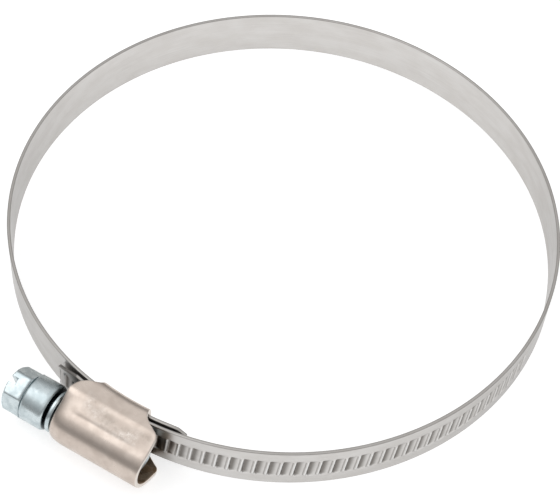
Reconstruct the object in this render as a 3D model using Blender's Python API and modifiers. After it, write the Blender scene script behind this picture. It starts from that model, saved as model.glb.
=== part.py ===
"""Worm-drive hose clamp, 9 mm band, for hoses of 80 to 100 mm.

The loop stands on its edge plane: +Z runs along the hose, the housing is at -Y and the screw lies along X,
with its head at -X. The band starts inside the housing as the fixed end, runs clockwise (seen from above)
round the hose and comes back into the housing from +X as the outer, threaded layer. The band is one strip
of spring steel. It is divided here into links, with an upright hinge between each two, so that the loop can
close and open.

Angles along the band are called turn: 0 at the middle of the housing, growing clockwise.
Lengths are in metres.
"""

import math

import bmesh
import bpy
from mathutils import Matrix, Vector

MM = 0.001

# Band
LOOP_RADIUS = 49.0 * MM  # outer face of the threaded layer where it passes under the screw
BAND_THICKNESS = 0.6 * MM
BAND_WIDTH = 9.0 * MM
LAYER_STEP = 1.0 * MM  # radial growth of the band in one turn: its thickness and the gap between layers
THREAD_PITCH = 2.1 * MM
LINK_LENGTH = 12 * THREAD_PITCH
LINK_COUNT = 12
FIRST_HINGE = math.radians(13.0)
TONGUE_END = math.radians(-11.8)
TONGUE_CORNER = (1.6 * MM, 1.3 * MM)  # cut off its upper corner: along the band, across it
TAIL_END = math.radians(378.0)
TAIL_TAPER = (4.5 * MM, 2.0 * MM)  # cut off both corners
LINK_GAP = 0.3 * MM
THREAD_STARTS = math.radians(268.0)  # the band is plain from the tongue to here

# Pressed thread grooves in the band
GROOVE_LENGTH = 4.3 * MM
GROOVE_WIDTH = 1.0 * MM
GROOVE_DEPTH = 0.25 * MM
LEAD_ANGLE = math.radians(6.4)
TAIL_GROOVES = 13

# Screw
AXIS_HEIGHT = 3.5 * MM  # screw axis above the outer face of the band
CREST_RADIUS = 3.2 * MM
ROOT_RADIUS = 2.5 * MM
HEX_ACROSS_FLATS = 7.0 * MM
COLLAR_RADIUS = 4.05 * MM
COLLAR_EDGE = 0.5 * MM
NECK_RADIUS = 2.9 * MM
TIP_RADIUS = 1.6 * MM
HEX_FACE_RADIUS = 3.35 * MM
HEAD_OVERLAP = 1.0 * MM
HEX_START, COLLAR_START, NECK_START, NECK_END = -20.0 * MM, -16.3 * MM, -12.3 * MM, -9.2 * MM
THREAD_START, THREAD_END = -8.2 * MM, 4.6 * MM
SCREW_END = 5.6 * MM
THREAD_OVERLAP = 0.35 * MM
CORNER_ANGLE = math.radians(19.0)
SLOT_ANGLE = math.radians(100.0)
SLOT_WIDTH = 1.1 * MM
SLOT_DEPTH = 1.4 * MM

# Housing
WALL = 0.8 * MM
HOUSING_HALF_WIDTH = 5.7 * MM
SHOULDER_HEIGHT = 1.6 * MM  # the side walls are upright up to here, then lean in to the tunnel
TUNNEL_RADIUS = 4.4 * MM
FLOOR_HEIGHT = -2.6 * MM  # inner face of the floor tab, below the band's outer face
HOUSING_LEFT, HOUSING_RIGHT = -9.0 * MM, 7.2 * MM
MOUTH_LEFT = -10.3 * MM  # the tunnel is drawn in here, round the neck of the screw
MOUTH_RADIUS = 3.6 * MM
MOUTH_BORE_RADIUS = 3.1 * MM
DOME_DEPTH = 2.4 * MM
DOME_INSET = 0.05 * MM  # keeps the dome's round face clear of the tunnel's until it comes out of it
HOUSING_BOTTOM = -4.0 * MM
INSIDE_BOTTOM = -1.0 * MM
CHANNEL_ROOM = 0.3 * MM  # between the outer layer of the band and the end wall above it
FLOOR_LEFT, FLOOR_RIGHT = -6.0 * MM, 3.0 * MM
PROFILE_TOP = 9.0 * MM  # above the tunnel, where the side view is not cut

# Ends of the side view as (along the screw, height) in millimetres, anticlockwise
NOSE = [(3.1, -1.6), (3.4, -0.6), (4.7, 0.3), (6.6, 1.4), (6.95, 2.2), (6.95, 3.9), (6.8, 7.9)]
HEAD_END = [(-11.0, 0.6), (-9.4, -0.2), (-8.6, -0.7), (-6.6, -1.1)]

# Frame: the origin is at the middle of the bounding box, on the floor
MID_PLANE = HOUSING_HALF_WIDTH
LOOP_CENTRE = Vector((-0.25 * MM, 4.2 * MM, MID_PLANE))

ARC_STEP = math.radians(1.6)
OVERCUT = 2.0 * MM


def band_radius(turn):
    """Radius of the middle of the band's thickness."""
    return LOOP_RADIUS - BAND_THICKNESS / 2 - LAYER_STEP * (1 - turn / math.tau)


def on_loop(turn, radius):
    """Point of the loop's plane at this angle and radius."""
    return Vector((-radius * math.sin(turn), -radius * math.cos(turn)))


def hinge_turns():
    """Where the hinges are: one link length apart along the band."""
    turns = [FIRST_HINGE]
    while len(turns) < LINK_COUNT:
        here = turns[-1]
        middle = here + LINK_LENGTH / band_radius(here) / 2
        turns.append(here + LINK_LENGTH / band_radius(middle))
    return turns


def housing_point(along, height, across):
    """World point from the housing's own directions: along the screw, out of the loop, and up."""
    return LOOP_CENTRE + Vector((along, -LOOP_RADIUS - height, across))


def collection(name, shown=True):
    found = bpy.data.collections.new(name)
    bpy.context.scene.collection.children.link(found)
    found.hide_render = not shown
    return found


def material(name, colour, roughness):
    made = bpy.data.materials.new(name)
    made.use_nodes = True
    shader = made.node_tree.nodes["Principled BSDF"]
    shader.inputs["Base Color"].default_value = (*colour, 1.0)
    shader.inputs["Metallic"].default_value = 1.0
    shader.inputs["Roughness"].default_value = roughness
    return made


def own(obj, group, finish=None):
    """Moves the object to one collection and gives it its material."""
    for other in list(obj.users_collection):
        other.objects.unlink(obj)
    group.objects.link(obj)
    if group.hide_render:
        obj.hide_render = True
        obj.display_type = "WIRE"
    if finish is not None:
        obj.data.materials.clear()
        obj.data.materials.append(finish)
    return obj


def mesh_from_curve(curve_object, name):
    """A mesh object in the curve's place, with the caps welded to the sides."""
    bpy.context.view_layer.update()
    graph = bpy.context.evaluated_depsgraph_get()
    mesh = bpy.data.meshes.new_from_object(curve_object.evaluated_get(graph))
    made = bpy.data.objects.new(name, mesh)
    made.matrix_world = curve_object.matrix_world.copy()
    bpy.context.scene.collection.objects.link(made)
    bpy.data.objects.remove(curve_object)
    weld = bmesh_weld(mesh)
    weld.to_mesh(mesh)
    weld.free()
    return made


def bmesh_weld(mesh):
    work = bmesh.new()
    work.from_mesh(mesh)
    bmesh.ops.remove_doubles(work, verts=work.verts, dist=1e-6)
    bmesh.ops.recalc_face_normals(work, faces=work.faces)
    return work


def prism(name, outline, thickness, matrix):
    """A flat outline in the XY plane of matrix, thickened equally to both sides."""
    curve = bpy.data.curves.new(name, "CURVE")
    curve.dimensions = "2D"
    curve.fill_mode = "BOTH"
    curve.extrude = thickness / 2
    spline = curve.splines.new("POLY")
    spline.points.add(len(outline) - 1)
    for point, (x, y) in zip(spline.points, outline):
        point.co = (x, y, 0.0, 1.0)
    spline.use_cyclic_u = True
    flat = bpy.data.objects.new(name + "_outline", curve)
    flat.matrix_world = matrix
    bpy.context.scene.collection.objects.link(flat)
    return mesh_from_curve(flat, name)


def turned(name, profile, matrix, steps=48):
    """Turns a profile of (radius, place) pairs, from its top down, round the local Z axis."""
    mesh = bpy.data.meshes.new(name)
    points = [(radius, 0.0, place) for radius, place in profile]
    mesh.from_pydata(points, [(i, i + 1) for i in range(len(points) - 1)], [])
    made = bpy.data.objects.new(name, mesh)
    made.matrix_world = matrix
    bpy.context.scene.collection.objects.link(made)
    screw = made.modifiers.new("turn", "SCREW")
    screw.steps = steps
    screw.render_steps = steps
    screw.use_merge_vertices = True
    screw.merge_threshold = 1e-6
    return made


def boolean(target, operation, tool):
    cut = target.modifiers.new(operation.lower() + "_" + tool.name, "BOOLEAN")
    cut.operation = operation
    cut.object = tool
    cut.solver = "EXACT"


def box(name, size, matrix):
    bpy.ops.mesh.primitive_cube_add(size=1.0)
    made = bpy.context.object
    made.name = name
    made.data.transform(Matrix.Diagonal((*size, 1.0)))
    made.matrix_world = matrix
    return made


def arc_turns(start, end):
    """Angles from start to end in equal steps of about ARC_STEP."""
    count = max(2, round(abs(end - start) / ARC_STEP))
    return [start + (end - start) * i / count for i in range(count + 1)]


def band_outline(start, end):
    """Outline, in the loop's plane, of the band between two angles, with a small gap left at each end."""
    turns = arc_turns(start, end)
    outer = [on_loop(turn, band_radius(turn) + BAND_THICKNESS / 2) for turn in turns]
    inner = [on_loop(turn, band_radius(turn) - BAND_THICKNESS / 2) for turn in turns]
    return outer + inner[::-1]


def set_origin(obj, place):
    """Moves the object's origin without moving its shape."""
    shift = Matrix.Translation(Vector(place) - obj.matrix_world.translation)
    obj.data.transform(shift.inverted())
    obj.matrix_world = shift @ obj.matrix_world


def band_piece(name, start, end, hinge, parts, steel):
    """A length of band, with its origin on the hinge at its start."""
    piece = prism(name, band_outline(start, end), BAND_WIDTH, Matrix.Translation(LOOP_CENTRE))
    if hinge is not None:
        x, y = on_loop(hinge, band_radius(hinge))
        set_origin(piece, LOOP_CENTRE + Vector((x, y, 0.0)))
    return own(piece, parts, steel)


def on_band(turn, height):
    """Frame on the band's outer face: X back along the band, Y out of the loop, Z up."""
    radius = band_radius(turn) + BAND_THICKNESS / 2 + height
    x, y = on_loop(turn, radius)
    place = Matrix.Translation(LOOP_CENTRE + Vector((x, y, 0.0)))
    return place @ Matrix.Rotation(-turn, 4, "Z")


def groove_turns(start, count):
    """Middles of the grooves that a link holds, one thread pitch apart, leaving out its plain stretch."""
    step = THREAD_PITCH / band_radius(start)
    turns = [start + (i + 0.5) * step for i in range(count)]
    return [turn for turn in turns if turn > THREAD_STARTS]


def groove_cutters(name, turns, cutters):
    """Slanted slots at these turns, as one cutter."""
    cutter_mesh = bpy.data.meshes.new(name)
    work = bmesh.new()
    for turn in turns:
        place = on_band(turn, 0.0) @ Matrix.Rotation(LEAD_ANGLE, 4, "Y")
        size = Matrix.Diagonal((GROOVE_WIDTH, 2 * GROOVE_DEPTH, GROOVE_LENGTH, 1.0))
        bmesh.ops.create_cube(work, size=1.0, matrix=place @ size)
    work.to_mesh(cutter_mesh)
    work.free()
    made = bpy.data.objects.new(name, cutter_mesh)
    bpy.context.scene.collection.objects.link(made)
    return own(made, cutters)


def corner_cutter(name, end, corner, side, along, cutters):
    """A block that cuts off the band's corner at this end: side is +1 for up, along is +1 towards turn 0."""
    run, drop = corner
    frame = on_band(end, 0.0)
    middle = Matrix.Translation((-along * run / 2, 0.0, side * (BAND_WIDTH - drop) / 2))
    slant = Matrix.Rotation(along * side * math.atan2(drop, run), 4, "Y")
    size = Vector((4 * run, 4 * MM, 4 * MM))
    lift = Matrix.Translation((0.0, 0.0, side * size.z / 2))
    return own(box(name, size, frame @ middle @ slant @ lift), cutters)


def build_band(parts, cutters, steel):
    hinges = hinge_turns()
    half_gap = LINK_GAP / 2 / LOOP_RADIUS
    fixed_end = band_piece("band_fixed_end", TONGUE_END, hinges[0] - half_gap, None, parts, steel)
    tongue_cut = corner_cutter("tongue_corner", TONGUE_END, TONGUE_CORNER, 1, 1, cutters)
    boolean(fixed_end, "DIFFERENCE", tongue_cut)
    ends = hinges[1:] + [TAIL_END + half_gap]
    for number, (start, end) in enumerate(zip(hinges, ends), start=1):
        is_tail = number == LINK_COUNT
        name = "band_tail_end" if is_tail else f"band_link_{number:02d}"
        link = band_piece(name, start + half_gap, end - half_gap, start, parts, steel)
        grooves = groove_turns(start, TAIL_GROOVES if is_tail else round(LINK_LENGTH / THREAD_PITCH))
        if grooves:
            boolean(link, "DIFFERENCE", groove_cutters(name + "_grooves", grooves, cutters))
        if is_tail:
            for side in (-1, 1):
                cutter = corner_cutter(f"tail_corner_{side + 2}", TAIL_END, TAIL_TAPER, side, -1, cutters)
                boolean(link, "DIFFERENCE", cutter)


def housing_outline(half_width, radius, bottom):
    """Section across the housing, as (across, height): upright walls that lean in to a round tunnel."""
    shoulder = Vector((half_width, SHOULDER_HEIGHT))
    centre = Vector((0.0, AXIS_HEIGHT))
    reach = shoulder - centre
    touch = math.atan2(reach.y, reach.x) + math.acos(radius / reach.length)
    count = 18
    sweep = math.pi - 2 * touch
    arc = []
    for i in range(count + 1):
        angle = touch + sweep * i / count
        arc.append((radius * math.cos(angle), AXIS_HEIGHT + radius * math.sin(angle)))
    right = [(half_width, bottom), (half_width, SHOULDER_HEIGHT)]
    left = [(-half_width, SHOULDER_HEIGHT), (-half_width, bottom)]
    return right + arc + left


def across_frame(along):
    """Frame whose XY plane is a section across the housing here: X up, Y out of the loop."""
    turn = Matrix(((0, 0, 1, 0), (0, -1, 0, 0), (1, 0, 0, 0), (0, 0, 0, 1)))
    return Matrix.Translation(housing_point(along, 0.0, 0.0)) @ turn


def screw_frame():
    """Frame on the screw's axis: Z along +X of the world, X out of the loop."""
    turn = Matrix(((0, 0, 1, 0), (-1, 0, 0, 0), (0, -1, 0, 0), (0, 0, 0, 1)))
    return Matrix.Translation(housing_point(0.0, AXIS_HEIGHT, 0.0)) @ turn


def section_prism(name, outline, start, end):
    return prism(name, outline, end - start, across_frame((start + end) / 2))


def side_profile():
    """Side view of the housing, as (along, height): notched at the head end, curved floor, leaning nose."""
    floor = LOOP_RADIUS + FLOOR_HEIGHT
    arc = []
    for i in range(7):
        along = FLOOR_LEFT + (FLOOR_RIGHT - FLOOR_LEFT) * i / 6
        arc.append((along, math.sqrt(floor**2 - along**2) - LOOP_RADIUS))
    nose = [(along * MM, height * MM) for along, height in NOSE]
    head_end = [(along * MM, height * MM) for along, height in HEAD_END]
    top = [(nose[-1][0], PROFILE_TOP), (head_end[0][0], PROFILE_TOP)]
    return arc + nose + top + head_end


def band_channel(cutters):
    """The curved slot that both layers of the band pass through."""
    inner = LOOP_RADIUS + FLOOR_HEIGHT + WALL
    outer = LOOP_RADIUS + CHANNEL_ROOM
    turns = arc_turns(math.radians(-14.0), math.radians(14.0))
    outline = [on_loop(turn, outer) for turn in turns] + [on_loop(turn, inner) for turn in turns[::-1]]
    width = 2 * (HOUSING_HALF_WIDTH - WALL)
    return own(prism("band_channel", outline, width, Matrix.Translation(LOOP_CENTRE)), cutters)


def mouth_dome(cutters):
    """The rounded shoulder between the tunnel and its narrow mouth at the head end."""
    profile = [(0.0, MOUTH_LEFT + DOME_DEPTH)]
    for i in range(7):
        angle = math.pi / 2 * i / 6
        radius = MOUTH_RADIUS + (TUNNEL_RADIUS - DOME_INSET - MOUTH_RADIUS) * math.cos(angle)
        profile.append((radius, MOUTH_LEFT + DOME_DEPTH * (1 - math.sin(angle)) ** 2))
    profile.append((0.0, MOUTH_LEFT))
    return own(turned("mouth_dome", profile, screw_frame()), cutters)


def mouth_bore(cutters):
    """The hole for the screw's neck, widening to the inside of the tunnel."""
    bore = TUNNEL_RADIUS - WALL
    profile = [
        (0.0, HOUSING_LEFT + OVERCUT),
        (bore, HOUSING_LEFT + OVERCUT),
        (bore, HOUSING_LEFT + WALL / 2),
        (MOUTH_BORE_RADIUS, HOUSING_LEFT - WALL / 2),
        (MOUTH_BORE_RADIUS, MOUTH_LEFT - OVERCUT),
        (0.0, MOUTH_LEFT - OVERCUT),
    ]
    return own(turned("mouth_bore", profile, screw_frame()), cutters)


def side_cutter(cutters):
    """What is kept of the housing, seen from the side."""
    outline = [(along, -height) for along, height in side_profile()]
    place = Matrix.Translation(housing_point(0.0, 0.0, 0.0))
    return own(prism("side_profile", outline, 8 * HOUSING_HALF_WIDTH, place), cutters)


def inside_cutter(cutters):
    """The hollow of the tunnel, open to the right."""
    outline = housing_outline(HOUSING_HALF_WIDTH - WALL, TUNNEL_RADIUS - WALL, INSIDE_BOTTOM)
    return own(section_prism("inside", outline, HOUSING_LEFT + WALL, HOUSING_RIGHT + OVERCUT), cutters)


def build_housing(parts, cutters, steel):
    outline = housing_outline(HOUSING_HALF_WIDTH, TUNNEL_RADIUS, HOUSING_BOTTOM)
    housing = own(section_prism("housing", outline, HOUSING_LEFT, HOUSING_RIGHT), parts, steel)
    boolean(housing, "UNION", mouth_dome(cutters))
    boolean(housing, "INTERSECT", side_cutter(cutters))
    boolean(housing, "DIFFERENCE", inside_cutter(cutters))
    boolean(housing, "DIFFERENCE", band_channel(cutters))
    boolean(housing, "DIFFERENCE", mouth_bore(cutters))


def helix(name, radius, thickness, start, end):
    """A right-hand thread ridge along the screw, as a bevelled curve."""
    points_per_turn = 24
    count = round((end - start) / THREAD_PITCH * points_per_turn)
    curve = bpy.data.curves.new(name, "CURVE")
    curve.dimensions = "3D"
    curve.bevel_depth = thickness
    curve.bevel_resolution = 1
    curve.use_fill_caps = True
    spline = curve.splines.new("POLY")
    spline.points.add(count)
    for i, point in enumerate(spline.points):
        angle = math.tau * i / points_per_turn
        place = start + THREAD_PITCH * i / points_per_turn
        point.co = (radius * math.cos(angle), radius * math.sin(angle), place, 1.0)
    made = bpy.data.objects.new(name + "_path", curve)
    made.matrix_world = screw_frame()
    bpy.context.scene.collection.objects.link(made)
    return mesh_from_curve(made, name)


def screw_profile():
    """(radius, place along the screw) of its round parts, from the tip back to the head."""
    return [
        (0.0, SCREW_END),
        (TIP_RADIUS, SCREW_END),
        (ROOT_RADIUS, SCREW_END - (ROOT_RADIUS - TIP_RADIUS)),
        (ROOT_RADIUS, NECK_END),
        (NECK_RADIUS, NECK_END),
        (NECK_RADIUS, NECK_START),
        (COLLAR_RADIUS - COLLAR_EDGE, NECK_START),
        (COLLAR_RADIUS, NECK_START - COLLAR_EDGE),
        (COLLAR_RADIUS, COLLAR_START + COLLAR_EDGE),
        (COLLAR_RADIUS - COLLAR_EDGE, COLLAR_START),
        (0.0, COLLAR_START),
    ]


def hex_head(cutters):
    """The hexagon, sunk into the collar, with its end chamfered to a round face."""
    end = COLLAR_START + HEAD_OVERLAP
    radius = HEX_ACROSS_FLATS / math.sqrt(3)
    bpy.ops.mesh.primitive_cylinder_add(vertices=6, radius=radius, depth=end - HEX_START)
    head = own(bpy.context.object, cutters)
    head.name = "hex_head"
    lift = Matrix.Translation((0.0, 0.0, (HEX_START + end) / 2))
    corner_up = Matrix.Rotation(math.pi / 2 + CORNER_ANGLE, 4, "Z")
    head.matrix_world = screw_frame() @ lift @ corner_up
    profile = [
        (0.0, COLLAR_START + OVERCUT),
        (HEX_ACROSS_FLATS, COLLAR_START + OVERCUT),
        (HEX_ACROSS_FLATS, HEX_START + (HEX_ACROSS_FLATS - HEX_FACE_RADIUS) / 2),
        (HEX_FACE_RADIUS, HEX_START),
        (0.0, HEX_START),
    ]
    boolean(head, "INTERSECT", own(turned("head_chamfer", profile, screw_frame()), cutters))
    return head


def driver_slot(cutters):
    turn = Matrix.Rotation(SLOT_ANGLE, 4, "Z")
    place = Matrix.Translation((0.0, 0.0, HEX_START + (SLOT_DEPTH - OVERCUT) / 2))
    size = (2 * HEX_ACROSS_FLATS, SLOT_WIDTH, SLOT_DEPTH + OVERCUT)
    return own(box("driver_slot", size, screw_frame() @ turn @ place), cutters)


def worm_thread(cutters):
    ridge = (CREST_RADIUS - ROOT_RADIUS + THREAD_OVERLAP) / 2
    return own(helix("worm_thread", CREST_RADIUS - ridge, ridge, THREAD_START, THREAD_END), cutters)


def build_screw(parts, cutters, zinc):
    screw = own(turned("clamp_screw", screw_profile(), screw_frame()), parts, zinc)
    boolean(screw, "UNION", worm_thread(cutters))
    boolean(screw, "UNION", hex_head(cutters))
    boolean(screw, "DIFFERENCE", driver_slot(cutters))


def main():
    for obj in list(bpy.data.objects):
        bpy.data.objects.remove(obj)
    parts = collection("hose_clamp")
    cutters = collection("cutters", shown=False)
    build_band(parts, cutters, material("band_steel", (0.62, 0.60, 0.58), 0.32))
    build_housing(parts, cutters, material("housing_steel", (0.58, 0.53, 0.48), 0.38))
    build_screw(parts, cutters, material("zinc_plating", (0.52, 0.58, 0.62), 0.25))


main()
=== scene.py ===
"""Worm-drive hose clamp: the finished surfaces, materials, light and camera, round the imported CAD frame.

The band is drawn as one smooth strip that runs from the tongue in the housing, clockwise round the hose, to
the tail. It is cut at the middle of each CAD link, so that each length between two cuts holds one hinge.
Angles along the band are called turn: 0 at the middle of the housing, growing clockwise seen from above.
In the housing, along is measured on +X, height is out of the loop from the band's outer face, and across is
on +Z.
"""

import math

import bmesh
import bpy
import numpy as np
from mathutils import Matrix, Vector


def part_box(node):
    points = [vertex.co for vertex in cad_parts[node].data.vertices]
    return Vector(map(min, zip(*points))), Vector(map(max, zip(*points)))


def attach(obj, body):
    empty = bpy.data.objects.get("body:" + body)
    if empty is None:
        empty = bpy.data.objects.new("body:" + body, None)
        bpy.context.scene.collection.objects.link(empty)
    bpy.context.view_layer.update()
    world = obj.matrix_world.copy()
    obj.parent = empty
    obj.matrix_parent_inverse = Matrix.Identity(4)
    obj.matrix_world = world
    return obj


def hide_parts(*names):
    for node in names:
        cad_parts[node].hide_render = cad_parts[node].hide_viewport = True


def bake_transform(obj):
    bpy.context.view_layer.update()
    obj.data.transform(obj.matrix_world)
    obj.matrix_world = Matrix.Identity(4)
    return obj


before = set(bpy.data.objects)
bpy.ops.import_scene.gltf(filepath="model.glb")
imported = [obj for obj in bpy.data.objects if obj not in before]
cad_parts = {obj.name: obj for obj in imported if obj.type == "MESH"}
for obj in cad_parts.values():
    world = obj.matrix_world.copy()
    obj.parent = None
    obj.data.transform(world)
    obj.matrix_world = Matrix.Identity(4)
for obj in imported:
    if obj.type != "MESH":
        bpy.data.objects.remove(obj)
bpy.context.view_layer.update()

MM = 0.001

# Band
LOOP_RADIUS = 49.0 * MM
BAND_THICKNESS = 0.6 * MM
BAND_HALF_WIDTH = 4.5 * MM
LAYER_STEP = 1.0 * MM
EDGE_RADIUS = 0.2 * MM
THREAD_PITCH = 2.1 * MM
LINK_LENGTH = 12 * THREAD_PITCH
LINK_COUNT = 12
FIRST_HINGE = math.radians(13.0)
TONGUE_END = math.radians(-11.8)
TONGUE_CORNER = (1.6 * MM, 1.3 * MM)
TAIL_END = math.radians(378.0)
TAIL_TAPER = (4.5 * MM, 2.0 * MM)
FIRST_THREADED_LINK = 9
EDGE_STEPS = 4
BARE_RINGS_A_LINK, RINGS_A_PITCH = 16, 14

# Pressed thread: a raised rib with a pocket behind it, once a pitch. Shares are of a pitch.
RIB_PLACE = 6.98 * MM  # a rib's place along the screw, right of the middle of the housing
THREAD_STARTS = math.radians(270.0)
POCKET_DEPTH = 0.27 * MM
RIB_HEIGHT = 0.16 * MM
RIB_SHARE, RIB_SPREAD = 0.02, 0.07
# Place and spread of the painted shade line just before each rib
SHADE_LINE_BEFORE_RIB, SHADE_LINE_SPREAD = 0.17, 0.06
POCKET_SHARES = (0.09, 0.2, 0.97)  # where it starts, is deepest, and has run out
POCKET_HALF_HEIGHT = 2.15 * MM
POCKET_END_SLOPE = (0.3 * MM, 0.05 * MM)  # inside and outside the half height
LEAD = math.tan(math.radians(6.4))

# Screw and housing
AXIS_HEIGHT = 3.5 * MM
HOUSING_HALF_WIDTH = 5.7 * MM
WALL = 0.8 * MM
SCREW_BODY = "clamp_screw"
HOUSING_BODY = "housing_with_fixed_end"

box_low, box_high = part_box("housing")
MID_PLANE = (box_low.z + box_high.z) / 2
LOOP_CENTRE = Vector((-0.25 * MM, 4.2 * MM, MID_PLANE))


# ---------------------------------------------------------------- meshes


def mesh_object(name, points, faces, smooth_angle=math.radians(35)):
    """A smooth-shaded mesh. Edges sharper than the angle stay sharp, and with None there are none."""
    mesh = bpy.data.meshes.new(name)
    mesh.from_pydata([tuple(p) for p in points], [], [tuple(int(i) for i in face) for face in faces])
    mesh.update()
    made = bpy.data.objects.new(name, mesh)
    bpy.context.scene.collection.objects.link(made)
    mesh.shade_smooth()
    if smooth_angle is not None:
        mesh.set_sharp_from_angle(angle=smooth_angle)
    return made


def store_vectors(mesh, name, values):
    made = mesh.attributes.new(name, "FLOAT_VECTOR", "POINT")
    made.data.foreach_set("vector", np.asarray(values, np.float32).ravel())


def store_numbers(mesh, name, values):
    made = mesh.attributes.new(name, "FLOAT", "POINT")
    made.data.foreach_set("value", np.asarray(values, np.float32).ravel())


def joined_rings(rings, around, closed=False):
    """Quads between neighbouring rings of this many points. Closed rings join the last to the first."""
    faces = []
    for i in range(rings if closed else rings - 1):
        beside = (i + 1) % rings
        for j in range(around):
            after = (j + 1) % around
            faces.append((i * around + j, i * around + after, beside * around + after, beside * around + j))
    return faces


def smooth_step(x, low, high):
    t = np.clip((x - low) / (high - low), 0.0, 1.0)
    return t * t * (3 - 2 * t)


# ---------------------------------------------------------------- band


def band_radius(turn):
    return LOOP_RADIUS - BAND_THICKNESS / 2 - LAYER_STEP * (1 - turn / math.tau)


def hinge_turns():
    turns = [FIRST_HINGE]
    while len(turns) < LINK_COUNT:
        here = turns[-1]
        middle = here + LINK_LENGTH / band_radius(here) / 2
        turns.append(here + LINK_LENGTH / band_radius(middle))
    return turns


def edge_arc(out, up, steps):
    """Points round a rounded edge of the strip, centred here. A quarter turn is EDGE_STEPS steps."""
    angles = [math.pi / 2 * step / EDGE_STEPS for step in steps]
    return [(out + EDGE_RADIUS * math.cos(a), up + EDGE_RADIUS * math.sin(a), 0.0) for a in angles]


def band_section(threaded):
    """Points round the band's section, as (out, up, 1 on the outer face and 0 elsewhere)."""
    out, up = BAND_THICKNESS / 2 - EDGE_RADIUS, BAND_HALF_WIDTH - EDGE_RADIUS
    face = np.linspace(-up, up, 7)
    if threaded:
        middle = np.linspace(-2.6 * MM, 2.6 * MM, 33)
        outer = np.concatenate([[-up, -3.4 * MM], middle, [3.4 * MM, up]])
    else:
        outer = face
    points = [(BAND_THICKNESS / 2, place, 1.0) for place in outer]
    points += edge_arc(out, up, range(1, EDGE_STEPS + 1))
    points += edge_arc(-out, up, range(EDGE_STEPS, 2 * EDGE_STEPS))
    points += [(-BAND_THICKNESS / 2, place, 0.0) for place in face[::-1]]
    points += edge_arc(-out, -up, range(2 * EDGE_STEPS + 1, 3 * EDGE_STEPS + 1))
    points += edge_arc(out, -up, range(3 * EDGE_STEPS, 4 * EDGE_STEPS))
    return np.array(points)


def thread_relief(turn, up):
    """The pressed thread's height here, and how much of this place is rib, line before the rib (for painted
    shade) and pocket.
    """
    along = (math.tau - turn) * LOOP_RADIUS
    place = along - RIB_PLACE - LEAD * up
    share = np.mod(place / THREAD_PITCH, 1.0)
    from_rib = np.mod(share - RIB_SHARE + 0.5, 1.0) - 0.5
    rib = np.exp(-(from_rib / RIB_SPREAD) ** 2)
    line = np.exp(-((from_rib + SHADE_LINE_BEFORE_RIB) / SHADE_LINE_SPREAD) ** 2)
    starts, deepest, ends = POCKET_SHARES
    pocket = smooth_step(share, starts, deepest) * (1 - smooth_step(share, deepest, ends) ** 0.8)
    inside, outside = POCKET_END_SLOPE
    window = 1 - smooth_step(np.abs(up), POCKET_HALF_HEIGHT - inside, POCKET_HALF_HEIGHT + outside)
    first = (math.tau - THREAD_STARTS) * LOOP_RADIUS
    last_whole = RIB_PLACE + THREAD_PITCH * math.floor((first - RIB_PLACE) / THREAD_PITCH)
    window = window * (place + RIB_PLACE < last_whole - 0.5 * THREAD_PITCH)
    height = (RIB_HEIGHT * rib - POCKET_DEPTH * pocket) * window
    return height, rib * window, line * window, pocket * window


def half_widths(turn):
    """How far the band reaches up and down here: it is cut away at the tongue's and the tail's ends."""
    up = np.full_like(turn, BAND_HALF_WIDTH)
    down = up.copy()
    run, drop = TONGUE_CORNER
    from_tongue = (turn - TONGUE_END) * LOOP_RADIUS
    up -= drop * np.clip(1 - from_tongue / run, 0, 1)
    run, drop = TAIL_TAPER
    from_tail = (TAIL_END - turn) * LOOP_RADIUS
    taper = drop * np.clip(1 - from_tail / run, 0, 1)
    return up - taper, down - taper


def band_grid(turns, threaded):
    """World points of the band's surface, one ring for each turn, and each point's rib, line and pocket."""
    section = band_section(threaded)
    turn = np.asarray(turns)[:, None]
    up_reach, down_reach = half_widths(turn)
    up = np.where(section[:, 1] > 0, section[:, 1] * up_reach, section[:, 1] * down_reach) / BAND_HALF_WIDTH
    out = np.broadcast_to(section[:, 0], up.shape).copy()
    thread = np.zeros((4, *up.shape))
    if threaded:
        thread = np.stack(thread_relief(turn, up)) * section[:, 2]
    radius = band_radius(turn) + out + thread[0]
    points = np.stack([-radius * np.sin(turn), -radius * np.cos(turn), up], axis=2) + np.array(LOOP_CENTRE)
    return points, np.moveaxis(thread[1:], 0, 2)


def grid_normals(points):
    """Normals of a closed-round grid of rings, from the neighbours of each point."""
    along = np.gradient(points, axis=0)
    around = np.roll(points, -1, axis=1) - np.roll(points, 1, axis=1)
    normal = np.cross(around, along)
    return normal / np.maximum(np.linalg.norm(normal, axis=2, keepdims=True), 1e-12)


def band_piece(name, start, end, threaded, finish):
    """A length of the band as a closed mesh, with normals that run on into its neighbours'."""
    spacing = THREAD_PITCH / RINGS_A_PITCH if threaded else LINK_LENGTH / BARE_RINGS_A_LINK
    count = max(2, math.ceil((end - start) * LOOP_RADIUS / spacing))
    turns = np.linspace(start, end, count + 1)
    spare = turns[1] - turns[0]
    wide, thread = band_grid(np.concatenate([[start - spare], turns, [end + spare]]), threaded)
    normals = grid_normals(wide)[1:-1]
    points, thread = wide[1:-1], thread[1:-1]
    rings, around = points.shape[:2]
    faces = joined_rings(rings, around)
    first_cap = tuple(range(around - 1, -1, -1))
    last_cap = tuple((rings - 1) * around + j for j in range(around))
    made = mesh_object(name, points.reshape(-1, 3), faces + [first_cap, last_cap], None)
    mesh = made.data
    flat = normals.reshape(-1, 3)
    loops = []
    for polygon in mesh.polygons:
        cap = len(polygon.vertices) > 4
        for vertex in polygon.vertices:
            loops.append(tuple(polygon.normal) if cap else tuple(flat[vertex]))
    mesh.normals_split_custom_set(loops)
    section = band_section(threaded)
    along = np.repeat(turns * LOOP_RADIUS, around)
    place = np.stack([along, np.tile(section[:, 1], rings), np.tile(section[:, 0], rings)], axis=1)
    store_vectors(mesh, "band_place", place)
    store_vectors(mesh, "thread", thread)
    mesh.materials.append(finish)
    return made


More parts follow.
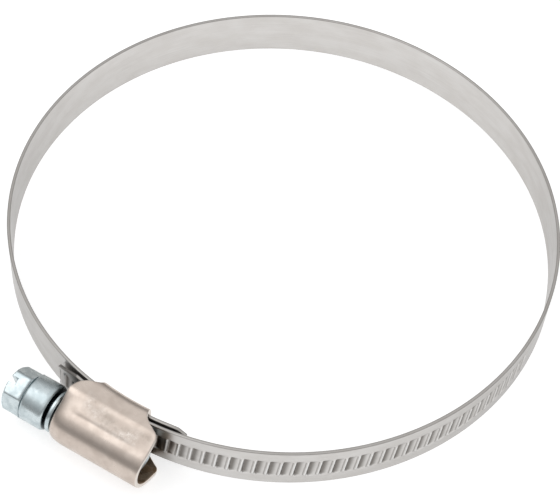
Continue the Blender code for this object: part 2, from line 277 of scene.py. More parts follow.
def build_band(finish):
    hinges = hinge_turns()
    half_link = LINK_LENGTH / 2 / LOOP_RADIUS
    cuts = [hinges[0] - half_link]
    cuts += [(a + b) / 2 for a, b in zip(hinges, hinges[1:])]
    cuts.append(hinges[-1] + half_link)
    bodies = [HOUSING_BODY] + [f"band_link_{i:02d}" for i in range(1, LINK_COUNT)] + ["band_tail_end"]

    fixed = band_piece("band_fixed_end_strip", TONGUE_END, cuts[0], False, finish)
    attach(fixed, bodies[0])
    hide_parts("band_fixed_end")
    for number in range(1, LINK_COUNT + 1):
        start, end = cuts[number - 1], cuts[number]
        threaded = number >= FIRST_THREADED_LINK
        piece = band_piece(f"band_strip_{number:02d}", start, end, threaded, finish)
        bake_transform(piece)
        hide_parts(bodies[number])
    tail = band_piece("band_tail_strip", cuts[-1], TAIL_END, True, finish)
    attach(tail, bodies[-1])
    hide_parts(bodies[-1])


# ---------------------------------------------------------------- housing

TUNNEL_RADIUS = 4.4 * MM
FLOOR_HEIGHT = -2.6 * MM
FLOOR_RADIUS = LOOP_RADIUS + FLOOR_HEIGHT
SHOULDER_HEIGHT = 1.6 * MM  # the sides are upright up to here, then lean in to the round tunnel
FOLD_RADIUS, SHOULDER_ROUND = 1.8 * MM, 3.0 * MM
CREASE_HEIGHT, CREASE_DEPTH, CREASE_SPREAD = 4.55 * MM, 0.07 * MM, 0.3 * MM
CREASE_ENDS = ((-8.0 * MM, -6.0 * MM), (2.0 * MM, 5.0 * MM))  # it fades in and out between these places
FLOOR_BEND = (-1.8 * MM, 0.0)  # the sheet follows the loop below the first height, and not above the second
NECKING_HEIGHTS = (1.0 * MM, 4.0 * MM)
MOUTH_LEFT = -10.3 * MM
MOUTH_RADIUS = 3.6 * MM
NECKING_STARTS = -7.6 * MM
RIM = 0.22 * MM
RIM_STEPS = 4
HOUSING_STEP = 0.2 * MM
SHELL_COUNT = 60
SOFTENED = 0.3 * MM

# Ends of the housing in the side view, as (height, place along the screw) in millimetres
NOSE = [
    (-2.6, 2.9), (-1.6, 3.1), (-0.6, 3.4), (0.3, 4.7), (1.3, 6.5), (2.2, 6.9), (4.5, 6.95), (7.9, 6.75),
]
HEAD_END = [
    (-2.6, -6.0), (-1.5, -6.4), (-1.05, -7.6), (-0.75, -8.7), (-0.2, -9.5), (1.2, -10.1), (7.9, -10.3),
]

END_WALL = (-9.0 * MM, -8.35 * MM)
END_WALL_BOTTOM = -0.5 * MM
END_WALL_OVERLAP, END_WALL_INSET, END_WALL_EDGE = 0.1 * MM, 0.15 * MM, 0.12 * MM
END_WALL_SIDES = 96
BORE_RADIUS, BORE_LIP = 3.1 * MM, 0.3 * MM


def rounded_path(corners, radii, step):
    """A polyline through these corners, with each inner one rounded."""
    points = [np.array(corners[0], float)]
    for before, corner, after, radius in zip(corners, corners[1:], corners[2:], radii):
        before, corner, after = (np.array(p, float) for p in (before, corner, after))
        back = (before - corner) / np.linalg.norm(before - corner)
        ahead = (after - corner) / np.linalg.norm(after - corner)
        half = math.acos(np.clip(back @ ahead, -1, 1)) / 2
        reach = radius / math.tan(half)
        middle = (back + ahead) / np.linalg.norm(back + ahead)
        centre = corner + middle * radius / math.sin(half)
        start, end = corner + back * reach - centre, corner + ahead * reach - centre
        turned = math.acos(np.clip(start @ end / radius**2, -1, 1))
        count = max(6, round(radius * turned / (step / 2)))
        for i in range(count + 1):
            share = i / count
            mix = math.sin((1 - share) * turned) * start + math.sin(share * turned) * end
            points.append(centre + mix / math.sin(turned))
    points.append(np.array(corners[-1], float))
    return points


def filled(points, step):
    """The same polyline with no gap longer than step."""
    made = [points[0]]
    for a, b in zip(points, points[1:]):
        count = max(1, math.ceil(np.linalg.norm(b - a) / step - 1e-9))
        made += [a + (b - a) * i / count for i in range(1, count + 1)]
    return made


def on_tunnel(angle):
    """Point of the tunnel's outer face as (across, height). 0 faces +Z, a right angle out of the loop."""
    return np.array((TUNNEL_RADIUS * math.cos(angle), AXIS_HEIGHT + TUNNEL_RADIUS * math.sin(angle)))


def housing_section():
    """The outer face's section as (across, height), from the middle of the floor once round, with normals."""
    shoulder = np.array((HOUSING_HALF_WIDTH, SHOULDER_HEIGHT - AXIS_HEIGHT))
    touch = math.atan2(shoulder[1], shoulder[0]) + math.acos(TUNNEL_RADIUS / np.linalg.norm(shoulder))
    floor_corner = (HOUSING_HALF_WIDTH, FLOOR_HEIGHT)
    corners = [(0.0, FLOOR_HEIGHT), floor_corner, (HOUSING_HALF_WIDTH, SHOULDER_HEIGHT), on_tunnel(touch)]
    half = filled(rounded_path(corners, [FOLD_RADIUS, SHOULDER_ROUND], HOUSING_STEP), HOUSING_STEP)
    sweep = math.pi / 2 - touch
    count = round(TUNNEL_RADIUS * sweep / HOUSING_STEP)
    half += [on_tunnel(touch + sweep * i / count) for i in range(1, count + 1)]
    other = [np.array((-across, height)) for across, height in half[-2:0:-1]]
    path = np.array(half + other)
    tangent = np.roll(path, -1, axis=0) - np.roll(path, 1, axis=0)
    normal = np.stack([tangent[:, 1], -tangent[:, 0]], axis=1)
    return path, normal / np.linalg.norm(normal, axis=1, keepdims=True)


def soft_limit(table, height, blur):
    """Where the sheet ends at each height of the side view, with the view's corners rounded."""
    heights, places = np.array(table).T * MM
    spread = np.linspace(-2, 2, 17)
    weight = np.exp(-spread**2)
    sampled = np.interp(height[:, None] + spread * blur, heights, places)
    return (sampled * weight).sum(axis=1) / weight.sum()


def sheet_ring(left, right):
    """Once round a cut through the sheet, as (along, depth): outer face, right rim, inner face, left rim."""
    quarter = np.linspace(0, math.pi / 2, RIM_STEPS + 1)
    outer = np.linspace(left + RIM, right - RIM, SHELL_COUNT)
    right_rim = [(right - RIM + RIM * math.sin(a), RIM - RIM * math.cos(a)) for a in quarter[1:]]
    right_rim += [(right - RIM + RIM * math.cos(a), WALL - RIM + RIM * math.sin(a)) for a in quarter[:-1]]
    left_rim = [(left + right - along, WALL - depth) for along, depth in right_rim]
    return np.array([(s, 0.0) for s in outer] + right_rim + [(s, WALL) for s in outer[::-1]] + left_rim)


def drawn_in(along, across, height):
    """Pulls the tunnel in towards the screw's neck at the head end."""
    neck = np.clip((NECKING_STARTS - along) / (NECKING_STARTS - MOUTH_LEFT), 0, 1)
    pull = (TUNNEL_RADIUS - MOUTH_RADIUS) * (1 - np.sqrt(1 - neck**2))
    pull = pull * smooth_step(height, *NECKING_HEIGHTS)
    share = 1 - pull / np.maximum(np.hypot(across, height - AXIS_HEIGHT), 1e-6)
    return across * share, AXIS_HEIGHT + (height - AXIS_HEIGHT) * share


def housing_shell(outside, inside):
    """The folded sheet. place and rim say to its material where each point is, and how near a cut edge."""
    path, normal = housing_section()
    right = soft_limit(NOSE, path[:, 1], SOFTENED)
    left = soft_limit(HEAD_END, path[:, 1], SOFTENED)
    rings = np.stack([sheet_ring(low, high) for low, high in zip(left, right)])
    along, depth = rings[..., 0], rings[..., 1]
    across = path[:, None, 0] - normal[:, None, 0] * depth
    height = path[:, None, 1] - normal[:, None, 1] * depth
    crease = CREASE_DEPTH * np.exp(-(((path[:, None, 1] - CREASE_HEIGHT) / CREASE_SPREAD) ** 2))
    crease = crease * smooth_step(along, *CREASE_ENDS[0]) * (1 - smooth_step(along, *CREASE_ENDS[1]))
    across = across - np.sign(across) * crease
    floor_drop = np.sqrt(FLOOR_RADIUS**2 - along**2) - FLOOR_RADIUS
    height = height + floor_drop * (1 - smooth_step(path[:, None, 1], *FLOOR_BEND))
    across, height = drawn_in(along, across, height)
    points = np.stack([along, -LOOP_RADIUS - height, across], axis=2) + np.array(LOOP_CENTRE)
    count, around = along.shape
    faces = [face[::-1] for face in joined_rings(count, around, closed=True)]
    made = mesh_object("stamped_housing", points.reshape(-1, 3), faces, None)
    first_inner = SHELL_COUNT + RIM_STEPS + 2
    last_inner = first_inner + SHELL_COUNT + RIM_STEPS - 3
    within = [first_inner <= face % around <= last_inner for face in range(len(faces))]
    made.data.materials.append(outside)
    made.data.materials.append(inside)
    made.data.polygons.foreach_set("material_index", [int(inner) for inner in within])
    store_vectors(made.data, "housing_place", np.stack([along, height, across], axis=2))
    to_rim = np.minimum(np.minimum(along - left[:, None], right[:, None] - along), WALL)
    store_numbers(made.data, "rim", 1 - to_rim / WALL)
    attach(made, HOUSING_BODY)
    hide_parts("housing")


def housing_end_wall(finish):
    """The wall at the head end, with the hole that the screw's neck turns in."""
    path, normal = housing_section()
    inner = path - normal * (WALL - END_WALL_OVERLAP)
    inner = inner[inner[:, 1] > END_WALL_BOTTOM]
    angles = np.arctan2(inner[:, 1] - AXIS_HEIGHT, inner[:, 0])
    order = np.argsort(angles)
    reach = np.hypot(inner[:, 0], inner[:, 1] - AXIS_HEIGHT)
    theta = np.linspace(-math.pi, math.pi, END_WALL_SIDES, endpoint=False)
    edge = np.interp(theta, angles[order], reach[order], period=math.tau)
    downward = np.maximum(-np.sin(theta), 1e-6)
    edge = np.minimum(edge, (AXIS_HEIGHT - END_WALL_BOTTOM) / downward)
    edge = np.maximum(edge - END_WALL_INSET, BORE_RADIUS + BORE_LIP)
    start, end = END_WALL
    eased = start + END_WALL_EDGE
    bore = np.full(END_WALL_SIDES, BORE_RADIUS)
    rings = [(eased, bore), (start, bore + END_WALL_EDGE), (start, edge - END_WALL_EDGE)]
    rings += [(eased, edge), (end, edge), (end, bore)]
    points = []
    for along, radius in rings:
        height = AXIS_HEIGHT + radius * np.sin(theta)
        ring = (np.full(END_WALL_SIDES, along), -LOOP_RADIUS - height, radius * np.cos(theta))
        points.append(np.stack(ring, axis=1))
    points = np.concatenate(points)
    faces = joined_rings(len(rings), END_WALL_SIDES, closed=True)
    made = mesh_object("housing_end_wall", points + np.array(LOOP_CENTRE), faces)
    store_vectors(made.data, "housing_place", points * (1, -1, 1) - (0, LOOP_RADIUS, 0))
    store_numbers(made.data, "rim", np.zeros(len(points)))
    made.data.materials.append(finish)
    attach(made, HOUSING_BODY)


# ---------------------------------------------------------------- screw

HEX_RADIUS = 3.5 * MM  # to a flat
HEX_FACE_RADIUS = 3.25 * MM
COLLAR_RADIUS = 4.05 * MM
ROOT_RADIUS = 2.5 * MM
CREST_RADIUS = 3.2 * MM
HEX_START, COLLAR_START = -20.0 * MM, -16.3 * MM
COLLAR_ROUND, COLLAR_STEPS = 0.45 * MM, 6
THREAD_START, THREAD_END = -8.2 * MM, 4.6 * MM
THREAD_FADE = 0.8 * MM
THREAD_OVERRUN = (0.1 * MM, 0.5 * MM)  # rows before the thread's start, and its fading past the end
FOOT_SHARE, FLANK_SHARE = 0.34, 0.16  # of a pitch: half the ridge's foot, and one of its flanks
ROWS_A_TURN = 14
CORNER_ANGLE = math.radians(19.0)
CORNER_EASE, CORNER_EASE_ANGLE = 0.05 * MM, 0.05
END_FACE_RADII = (0.0, 1.5, 3.13)  # rows of the flat end face, in millimetres
CHAMFER_EDGE, CHAMFER_SLOPE = 0.03 * MM, 1.6
HEAD_SHARES = (0.0, 0.015, 0.04, 0.065, 0.09, 0.12, 0.145, 0.18, 0.26, 0.42, 0.6, 0.78, 0.88, 0.96, 1.0)
FILLET_RISE, FILLET_RUN = 0.35 * MM, 0.45 * MM
SLOT_ANGLE = math.radians(100.0)
SLOT_WIDTH, SLOT_DEPTH, SLOT_LENGTH = 1.1 * MM, 1.4 * MM, 12 * MM
SLOT_OVERCUT = 2 * MM
SLOT_EASE = 0.07 * MM
SCREW_SIDES = 120

# Round parts between the collar and the thread, as (place along the screw, radius) in millimetres:
# the collar's side and rounded edge, a deep groove, the flange beside the housing, and the neck in its wall
NECK_PROFILE = [
    (-14.3, 4.05), (-12.8, 4.05), (-12.35, 4.02), (-12.1, 3.9), (-11.96, 3.72), (-11.9, 3.45),
    (-11.88, 3.1), (-11.85, 2.7), (-11.8, 2.5), (-11.6, 2.5), (-11.52, 2.7), (-11.46, 3.2),
    (-11.38, 3.52), (-11.2, 3.68), (-10.85, 3.68), (-10.62, 3.52), (-10.52, 3.2), (-10.45, 2.9),
    (-9.3, 2.88), (-9.2, 2.8), (-9.1, 2.5), (-8.6, 2.5),
]
# Where the painted shade in the neck's groove starts, is full, fades and ends
GROOVE = (-12.0 * MM, -11.9 * MM, -11.55 * MM, -11.42 * MM)
TIP_PROFILE = [(5.3, 2.3), (5.5, 2.05), (5.58, 1.8), (5.6, 1.5), (5.6, 0.0)]


def hexagon(angle):
    """Radius of the hexagon, with its corners eased, all round."""
    away = np.abs(np.mod(angle - CORNER_ANGLE + math.pi / 6, math.pi / 3) - math.pi / 6)
    sharp = HEX_RADIUS / np.cos(math.pi / 6 - away)
    return sharp - CORNER_EASE * np.exp(-(away / CORNER_EASE_ANGLE) ** 2)


def head_rows(angle):
    """The end face, the chamfered hexagon and the collar's shoulder, as rows of (place, radius all round)."""
    whole = np.ones_like(angle)
    rows = [(HEX_START, radius * MM * whole) for radius in END_FACE_RADII]
    length = COLLAR_START - HEX_START
    for share in HEAD_SHARES:
        place = HEX_START + share * length
        chamfer = HEX_FACE_RADIUS + CHAMFER_EDGE + CHAMFER_SLOPE * share * length
        shape = np.minimum(hexagon(angle), chamfer)
        fillet = FILLET_RISE * max(0.0, 1 - (COLLAR_START - place) / FILLET_RUN) ** 2
        rows.append((place, np.minimum(shape + fillet, COLLAR_RADIUS)))
    for i in range(COLLAR_STEPS + 1):
        turned = math.pi / 2 * i / COLLAR_STEPS
        radius = COLLAR_RADIUS - COLLAR_ROUND * (1 - math.sin(turned))
        shape = np.maximum(radius, rows[-1][1]) if i == 0 else radius * whole
        rows.append((COLLAR_START + COLLAR_ROUND * (1 - math.cos(turned)), shape))
    return rows


def thread_rows(angle):
    """The worm thread: a ridge that runs once round the screw in each pitch."""
    rows = []
    before, after = THREAD_OVERRUN
    step = THREAD_PITCH / ROWS_A_TURN
    for i in range(round((THREAD_END + after + before - THREAD_START) / step) + 1):
        along = THREAD_START - before + step * i
        phase = np.mod((along - THREAD_START) / THREAD_PITCH - angle / math.tau + 0.5, 1.0) - 0.5
        ridge = smooth_step(FOOT_SHARE - np.abs(phase), 0.0, FLANK_SHARE)
        fade = min(1.0, max(0.0, along - THREAD_START) / THREAD_FADE)
        fade = min(fade, max(0.0, THREAD_END + after - along) / THREAD_FADE)
        rows.append((along, ROOT_RADIUS + (CREST_RADIUS - ROOT_RADIUS) * ridge * fade))
    return rows


def profile_rows(profile, angle):
    return [(along * MM, radius * MM * np.ones_like(angle)) for along, radius in profile]


def build_screw(finish):
    """The whole screw, in one mesh. Angles round it run from out of the loop towards -Z."""
    angle = np.linspace(0, math.tau, SCREW_SIDES, endpoint=False)
    rows = head_rows(angle) + profile_rows(NECK_PROFILE, angle)
    rows += thread_rows(angle) + profile_rows(TIP_PROFILE, angle)
    points = []
    for along, radius in rows:
        height = AXIS_HEIGHT + radius * np.cos(angle)
        ring = (np.full_like(angle, along), -LOOP_RADIUS - height, -radius * np.sin(angle))
        points.append(np.stack(ring, axis=1))
    points = np.concatenate(points) + np.array(LOOP_CENTRE)
    made = mesh_object("worm_screw", points, joined_rings(len(rows), SCREW_SIDES))
    work = bmesh.new()
    work.from_mesh(made.data)
    bmesh.ops.remove_doubles(work, verts=work.verts, dist=1e-8)
    bmesh.ops.recalc_face_normals(work, faces=work.faces)
    work.to_mesh(made.data)
    work.free()
    cut_slot(made)
    made.data.materials.append(finish)
    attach(made, SCREW_BODY)
    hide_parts("clamp_screw")


def slot_cutter():
    bpy.ops.mesh.primitive_cube_add(size=1.0)
    cutter = bpy.context.object
    cutter.data.transform(Matrix.Diagonal((SLOT_DEPTH + SLOT_OVERCUT, SLOT_WIDTH, SLOT_LENGTH, 1.0)))
    middle = HEX_START + (SLOT_DEPTH - SLOT_OVERCUT) / 2
    place = LOOP_CENTRE + Vector((middle, -LOOP_RADIUS - AXIS_HEIGHT, 0.0))
    across = Vector((0.0, -math.cos(SLOT_ANGLE), -math.sin(SLOT_ANGLE)))
    ahead = Vector((1.0, 0.0, 0.0))
    turn = Matrix((ahead, ahead.cross(across), across)).transposed().to_4x4()
    cutter.matrix_world = Matrix.Translation(place) @ turn
    return cutter


def cut_slot(screw):
    """The screwdriver slot across the hexagon's end, with its edges eased."""
    cutter = slot_cutter()
    cut = screw.modifiers.new("slot", "BOOLEAN")
    cut.operation = "DIFFERENCE"
    cut.object = cutter
    cut.solver = "EXACT"
    ease = screw.modifiers.new("eased_edges", "BEVEL")
    ease.width = SLOT_EASE
    ease.segments = 2
    ease.limit_method = "ANGLE"
    ease.angle_limit = math.radians(55)
    bpy.context.view_layer.update()
    graph = bpy.context.evaluated_depsgraph_get()
    finished = bpy.data.meshes.new_from_object(screw.evaluated_get(graph))
    screw.modifiers.clear()
    old = screw.data
    screw.data = finished
    bpy.data.meshes.remove(old)
    bpy.data.objects.remove(cutter)
    finished.shade_smooth()
    finished.set_sharp_from_angle(angle=math.radians(32))


# ---------------------------------------------------------------- materials


class Shading:
    """A material under construction: each method adds one node and returns its output."""

    def __init__(self, name):
        self.material = bpy.data.materials.new(name)
        self.material.use_nodes = True
        self.nodes = self.material.node_tree.nodes
        self.links = self.material.node_tree.links
        self.shader = self.nodes["Principled BSDF"]
        self.shader.inputs["Metallic"].default_value = 1.0

    def feed(self, socket, value):
        if isinstance(value, bpy.types.NodeSocket):
            self.links.new(value, socket)
        else:
            socket.default_value = value

    def attribute(self, name, output):
        node = self.nodes.new("ShaderNodeAttribute")
        node.attribute_name = name
        return node.outputs[output]

    def scaled(self, vector, scale):
        node = self.nodes.new("ShaderNodeVectorMath")
        node.operation = "MULTIPLY"
        self.feed(node.inputs[0], vector)
        node.inputs[1].default_value = scale
        return node.outputs[0]

    def split(self, vector):
        node = self.nodes.new("ShaderNodeSeparateXYZ")
        self.feed(node.inputs[0], vector)
        return node.outputs

    def math(self, operation, a, b=0.0, c=0.0):
        node = self.nodes.new("ShaderNodeMath")
        node.operation = operation
        for socket, value in zip(node.inputs, (a, b, c)):
            self.feed(socket, value)
        return node.outputs[0]

    def noise(self, vector, scale, detail=3.0, roughness=0.5, distortion=0.0):
        node = self.nodes.new("ShaderNodeTexNoise")
        self.feed(node.inputs["Vector"], vector)
        node.inputs["Scale"].default_value = scale
        node.inputs["Detail"].default_value = detail
        node.inputs["Roughness"].default_value = roughness
        node.inputs["Distortion"].default_value = distortion
        return node.outputs["Fac"]

    def remap(self, value, low, high, to_low=0.0, to_high=1.0):
        node = self.nodes.new("ShaderNodeMapRange")
        node.interpolation_type = "SMOOTHSTEP"
        self.feed(node.inputs["Value"], value)
        node.inputs["From Min"].default_value = low
        node.inputs["From Max"].default_value = high
        node.inputs["To Min"].default_value = to_low
        node.inputs["To Max"].default_value = to_high
        return node.outputs["Result"]

    def mix(self, share, a, b):
        node = self.nodes.new("ShaderNodeMix")
        node.data_type = "RGBA"
        self.feed(node.inputs["Factor"], share)
        self.feed(node.inputs["A"], a)
        self.feed(node.inputs["B"], b)
        return node.outputs["Result"]

    def bump(self, height, distance, strength=1.0, below=None):
        node = self.nodes.new("ShaderNodeBump")
        node.inputs["Distance"].default_value = distance
        node.inputs["Strength"].default_value = strength
        self.feed(node.inputs["Height"], height)
        if below is not None:
            self.feed(node.inputs["Normal"], below)
        return node.outputs["Normal"]

    def finish(self, colour, roughness, normal):
        self.feed(self.shader.inputs["Base Color"], colour)
        self.feed(self.shader.inputs["Roughness"], roughness)
        self.feed(self.shader.inputs["Normal"], normal)
        return self.material


def grey(level, warmth=0.0):
    """A near-grey colour: warmth moves it from blue towards brown."""
    return (level * (1 + warmth), level, level * (1 - warmth), 1.0)


STRIP_DULL, STRIP_BRIGHT = grey(0.56, 0.035), grey(0.61, 0.025)
ROLLING_LINE = grey(0.38, 0.04)
# Dark specks; the same colour also paints the shade line before each rib.
DARK_SPECK_AND_SHADE = grey(0.12, 0.1)
EDGE_GREY = grey(0.2, 0.08)
# Painted shade for the thread's pockets and a painted highlight for its ribs.
POCKET_PAINTED_SHADE, RIB_PAINTED_HIGHLIGHT = grey(0.13, 0.1), grey(0.86)
# Painted shade for the band's outer face beside the screw.
SCREW_SIDE_SHADE = (0.085, 0.065, 0.05, 1)
NICKEL_DULL, NICKEL_BRIGHT = (0.49, 0.42, 0.37, 1), (0.58, 0.505, 0.45, 1)
NICKEL_DIRTY = (0.27, 0.225, 0.19, 1)
# Worn spots, and a painted highlight for the cut rims.
NICKEL_WORN, NICKEL_RIM_HIGHLIGHT = (0.8, 0.75, 0.7, 1), (0.78, 0.74, 0.69, 1)
# Painted shade and warm reflection inside the housing, as dark and lighter mottle.
INSIDE_SHADE_DARK, INSIDE_SHADE_LIGHT = (0.3, 0.2, 0.12, 1), (0.62, 0.49, 0.37, 1)
ZINC_DULL, ZINC_BRIGHT = (0.44, 0.505, 0.525, 1), (0.58, 0.645, 0.665, 1)
# Painted shade for the groove in the screw's neck.
GROOVE_SHADE = (0.02, 0.03, 0.04, 1)

SHEARED_EDGE = (4.2 * MM, 4.45 * MM)
# Middle and reach of the painted shade on the band beside the screw
SCREW_SIDE_SHADE_MIDDLE, SCREW_SIDE_SHADE_REACH = 3.0 * MM, (9.5 * MM, 12.0 * MM)
STRIPE_MIDDLE, STRIPE_HEIGHT = 1.0 * MM, 3.3 * MM
STRIPE_BOW = 35.0  # drop of the stripe's ends for each metre of length squared
STRIPE_SIDES, STRIPE_ENDS = (0.2 * MM, 2.2 * MM), (5.5 * MM, 7.5 * MM)  # from full wear to none
FLAT_SIDE = (3.9 * MM, 4.3 * MM)


def band_steel():
    """Rolled strip: lines along it, blotches, dark specks and sheared edges. Painted shade in the thread's
    pockets, before its ribs and on the outer face beside the screw, and a painted highlight on the ribs.
    """
    made = Shading("rolled_band_steel")
    place = made.attribute("band_place", "Vector")
    along, across, side = made.split(place)
    rib, line, pocket = made.split(made.attribute("thread", "Vector"))
    blotches = made.noise(made.scaled(place, (150.0, 420.0, 0.0)), 1.0, 4.0, 0.6)
    lines = made.noise(made.scaled(place, (60.0, 9000.0, 0.0)), 1.0, 2.0)
    specks = made.noise(made.scaled(place, (700.0, 700.0, 0.0)), 1.0, 2.0, 0.7)
    colour = made.mix(made.remap(blotches, 0.3, 0.7), STRIP_DULL, STRIP_BRIGHT)
    colour = made.mix(made.remap(lines, 0.35, 0.75, 0.0, 0.2), colour, ROLLING_LINE)
    colour = made.mix(made.remap(specks, 0.8, 0.84, 0.0, 0.75), colour, DARK_SPECK_AND_SHADE)
    edge = made.remap(made.math("ABSOLUTE", across), *SHEARED_EDGE, 0.0, 0.5)
    colour = made.mix(edge, colour, EDGE_GREY)
    # Painted shade: the thread's pockets are darkened, most just behind each rib.
    colour = made.mix(made.remap(pocket, 0.15, 0.95, 0.0, 0.88), colour, POCKET_PAINTED_SHADE)
    # Painted shade: a dark line just before each rib, for its shaded flank.
    colour = made.mix(made.remap(line, 0.2, 0.9, 0.0, 0.6), colour, DARK_SPECK_AND_SHADE)
    # Painted highlight: each rib's crest is lightened towards white.
    colour = made.mix(made.remap(rib, 0.4, 0.95, 0.0, 0.8), colour, RIB_PAINTED_HIGHLIGHT)
    # Painted shade: the band's outer face darkens beside the screw, under and near the housing.
    from_screw = made.math("ABSOLUTE", made.math("SUBTRACT", along, math.tau * LOOP_RADIUS + SCREW_SIDE_SHADE_MIDDLE))
    near_screw = made.remap(from_screw, *SCREW_SIDE_SHADE_REACH, 0.5, 0.0)
    on_outside = made.remap(side, 0.0, 0.2 * MM)
    colour = made.mix(made.math("MULTIPLY", near_screw, on_outside), colour, SCREW_SIDE_SHADE)
    made.shader.inputs["Specular Tint"].default_value = grey(0.7)
    roughness = made.remap(blotches, 0.3, 0.7, 0.34, 0.28)
    grain = made.bump(lines, 0.004 * MM, 0.5)
    return made.finish(colour, roughness, made.bump(blotches, 0.015 * MM, 0.3, grain))


def scuffed_stripe(made, place):
    """1 in the middle of a slightly bowed stripe along the flat sides, fading to 0 round it."""
    along, height, across = made.split(place)
    from_middle = made.math("SUBTRACT", along, STRIPE_MIDDLE)
    bow = made.math("MULTIPLY", made.math("MULTIPLY", from_middle, from_middle), STRIPE_BOW)
    off_stripe = made.math("SUBTRACT", made.math("ADD", height, bow), STRIPE_HEIGHT)
    stripe = made.remap(made.math("ABSOLUTE", off_stripe), *STRIPE_SIDES, 1.0, 0.0)
    lengthwise = made.remap(made.math("ABSOLUTE", along), *STRIPE_ENDS, 1.0, 0.0)
    flat_side = made.remap(made.math("ABSOLUTE", across), *FLAT_SIDE)
    return made.math("MULTIPLY", made.math("MULTIPLY", stripe, lengthwise), flat_side)


def housing_steel():
    """Warm nickel-like sheet, with a worn and dirty stripe on its flat sides and a painted highlight on its
    rims.
    """
    made = Shading("stamped_housing_steel")
    place = made.attribute("housing_place", "Vector")
    rim = made.attribute("rim", "Fac")
    clouds = made.noise(place, 420.0, 4.0, 0.55)
    mottle = made.noise(place, 1500.0, 4.0, 0.75)
    patches = made.noise(place, 270.0, 2.0)
    grain = made.noise(place, 2600.0, 3.0)
    scuffed = scuffed_stripe(made, place)
    worn_spots = made.math("MULTIPLY", made.remap(patches, 0.35, 0.6), made.remap(mottle, 0.3, 0.75))
    worn_spots = made.math("MULTIPLY", scuffed, worn_spots)
    colour = made.mix(made.remap(clouds, 0.3, 0.7), NICKEL_DULL, NICKEL_BRIGHT)
    dirty = made.math("MULTIPLY", scuffed, made.remap(clouds, 0.42, 0.62, 0.0, 0.6))
    colour = made.mix(dirty, colour, NICKEL_DIRTY)
    colour = made.mix(made.math("MULTIPLY", worn_spots, 0.8), colour, NICKEL_WORN)
    # Painted highlight: the sheet's cut rims are lightened.
    rim_highlight = made.remap(rim, 0.72, 0.98)
    colour = made.mix(made.math("MULTIPLY", rim_highlight, 0.6), colour, NICKEL_RIM_HIGHLIGHT)
    roughness = made.math("MULTIPLY_ADD", scuffed, 0.12, made.remap(clouds, 0.3, 0.7, 0.34, 0.27))
    normal = made.bump(clouds, 0.05 * MM, 0.35)
    normal = made.bump(grain, 0.006 * MM, 0.4, normal)
    normal = made.bump(worn_spots, 0.02 * MM, 0.5, normal)
    return made.finish(colour, roughness, normal)


def housing_inside():
    """The sheet's inner face: dull, and darkened brown by painted shade and a painted warm reflection."""
    made = Shading("housing_inside")
    place = made.attribute("housing_place", "Vector")
    inside_mottle = made.noise(place, 600.0, 4.0, 0.6)
    # Painted shade: the whole inner face is kept dark brown.
    colour = made.mix(made.remap(inside_mottle, 0.35, 0.65), INSIDE_SHADE_DARK, INSIDE_SHADE_LIGHT)
    return made.finish(colour, made.remap(inside_mottle, 0.3, 0.7, 0.5, 0.35), made.bump(inside_mottle, 0.05 * MM, 0.5))


def zinc_plate():
    """Blue-passivated zinc: mottled bluish grey with an uneven skin, and painted shade in the neck's groove.
    """
    made = Shading("blue_zinc_plate")
    node = made.nodes.new("ShaderNodeTexCoord")
    place = node.outputs["Object"]
    mottle = made.noise(place, 700.0, 4.0, 0.6)
    fine = made.noise(place, 3200.0, 2.0)
    colour = made.mix(made.remap(mottle, 0.3, 0.7), ZINC_DULL, ZINC_BRIGHT)
    # Painted shade: the groove between the collar and the flange is darkened nearly to black.
    along = made.math("SUBTRACT", made.split(place)[0], LOOP_CENTRE.x)
    starts, full, fading, ends = GROOVE
    groove_shade = made.math("MULTIPLY", made.remap(along, starts, full), made.remap(along, fading, ends, 1.0, 0.0))
    colour = made.mix(made.math("MULTIPLY", groove_shade, 0.93), colour, GROOVE_SHADE)
    roughness = made.remap(mottle, 0.3, 0.7, 0.34, 0.24)
    normal = made.bump(mottle, 0.04 * MM, 0.35)
    return made.finish(colour, roughness, made.bump(fine, 0.006 * MM, 0.4, normal))


def pale_floor():
    """A white light table: bright by itself, so that shadows stay faint."""
    made = Shading("pale_floor")
    made.shader.inputs["Metallic"].default_value = 0.0
    made.shader.inputs["Base Color"].default_value = grey(0.6)
    made.shader.inputs["Roughness"].default_value = 0.9
    made.shader.inputs["Emission Color"].default_value = (1.0, 1.0, 1.0, 1)
    made.shader.inputs["Emission Strength"].default_value = 0.62
    return made.material


# ---------------------------------------------------------------- surroundings

CAMERA_AZIMUTH = math.radians(26.62)
CAMERA_ELEVATION = math.radians(52.142)
CAMERA_ROLL = math.radians(5.216)
CAMERA_DISTANCE = 289.65 * MM
CAMERA_LENS, CAMERA_SENSOR = 104.8, 36.0
CAMERA_SHIFT = (-0.0049, -0.0458)
SKY = [(0.5, 0.55), (0.56, 0.38), (0.7, 0.42), (0.86, 0.95), (0.97, 1.1)]  # (height as a share, brightness)
KEY_PLACE = (-0.26, -0.16, 0.75)
KEY_SIZE, KEY_POWER = 0.6, 0.75
FLOOR_SIDE = 3.0
FLOOR_DROP = 0.1 * MM


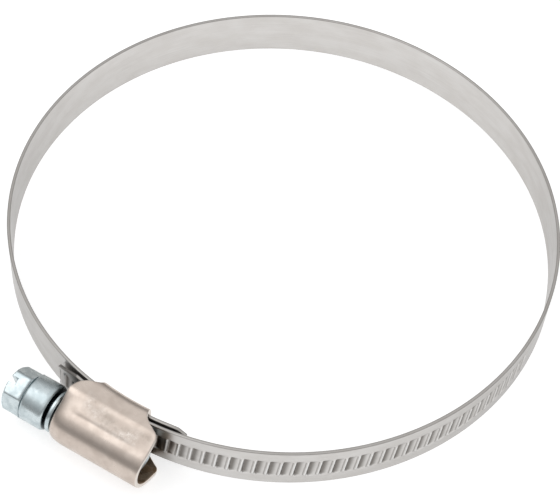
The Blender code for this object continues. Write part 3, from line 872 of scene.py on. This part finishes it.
def build_camera():
    data = bpy.data.cameras.new("camera")
    data.lens = CAMERA_LENS
    data.sensor_width = CAMERA_SENSOR
    data.shift_x, data.shift_y = CAMERA_SHIFT
    data.clip_start = 0.01
    camera = bpy.data.objects.new("camera", data)
    level, rise = math.cos(CAMERA_ELEVATION), math.sin(CAMERA_ELEVATION)
    back = Vector((math.sin(CAMERA_AZIMUTH) * level, -math.cos(CAMERA_AZIMUTH) * level, rise))
    turn = (-back).to_track_quat("-Z", "Y").to_matrix().to_4x4()
    roll = Matrix.Rotation(CAMERA_ROLL, 4, "Z")
    camera.matrix_world = Matrix.Translation(LOOP_CENTRE + back * CAMERA_DISTANCE) @ turn @ roll
    bpy.context.scene.collection.objects.link(camera)
    bpy.context.scene.camera = camera


def build_world():
    """A studio that is dim at eye level and bright overhead."""
    world = bpy.data.worlds.new("studio")
    bpy.context.scene.world = world
    world.use_nodes = True
    nodes, links = world.node_tree.nodes, world.node_tree.links
    place = nodes.new("ShaderNodeTexCoord")
    split = nodes.new("ShaderNodeSeparateXYZ")
    lift = nodes.new("ShaderNodeMapRange")
    ramp = nodes.new("ShaderNodeValToRGB")
    lift.inputs["From Min"].default_value = -1.0
    links.new(place.outputs["Generated"], split.inputs[0])
    links.new(split.outputs["Z"], lift.inputs["Value"])
    links.new(lift.outputs["Result"], ramp.inputs["Fac"])
    links.new(ramp.outputs["Color"], nodes["Background"].inputs["Color"])
    stops = ramp.color_ramp.elements
    while len(stops) < len(SKY):
        stops.new(0.5)
    for stop, (height, level) in zip(stops, SKY):
        stop.position = height
        stop.color = grey(level)


def build_key_light():
    data = bpy.data.lights.new("key_light", "AREA")
    data.shape = "DISK"
    data.size = KEY_SIZE
    data.energy = KEY_POWER
    light = bpy.data.objects.new("key_light", data)
    light.location = KEY_PLACE
    light.rotation_mode = "QUATERNION"
    light.rotation_quaternion = (LOOP_CENTRE - Vector(KEY_PLACE)).to_track_quat("-Z", "Y")
    bpy.context.scene.collection.objects.link(light)


def build_floor():
    bpy.ops.mesh.primitive_plane_add(size=2 * FLOOR_SIDE, location=(0.0, 0.0, -FLOOR_DROP))
    floor = bpy.context.object
    floor.name = "floor"
    floor.data.materials.append(pale_floor())


def main():
    bpy.context.scene.view_settings.view_transform = "Standard"
    build_camera()
    build_world()
    build_key_light()
    build_floor()
    build_band(band_steel())
    housing_finish = housing_steel()
    housing_shell(housing_finish, housing_inside())
    housing_end_wall(housing_finish)
    build_screw(zinc_plate())


main()
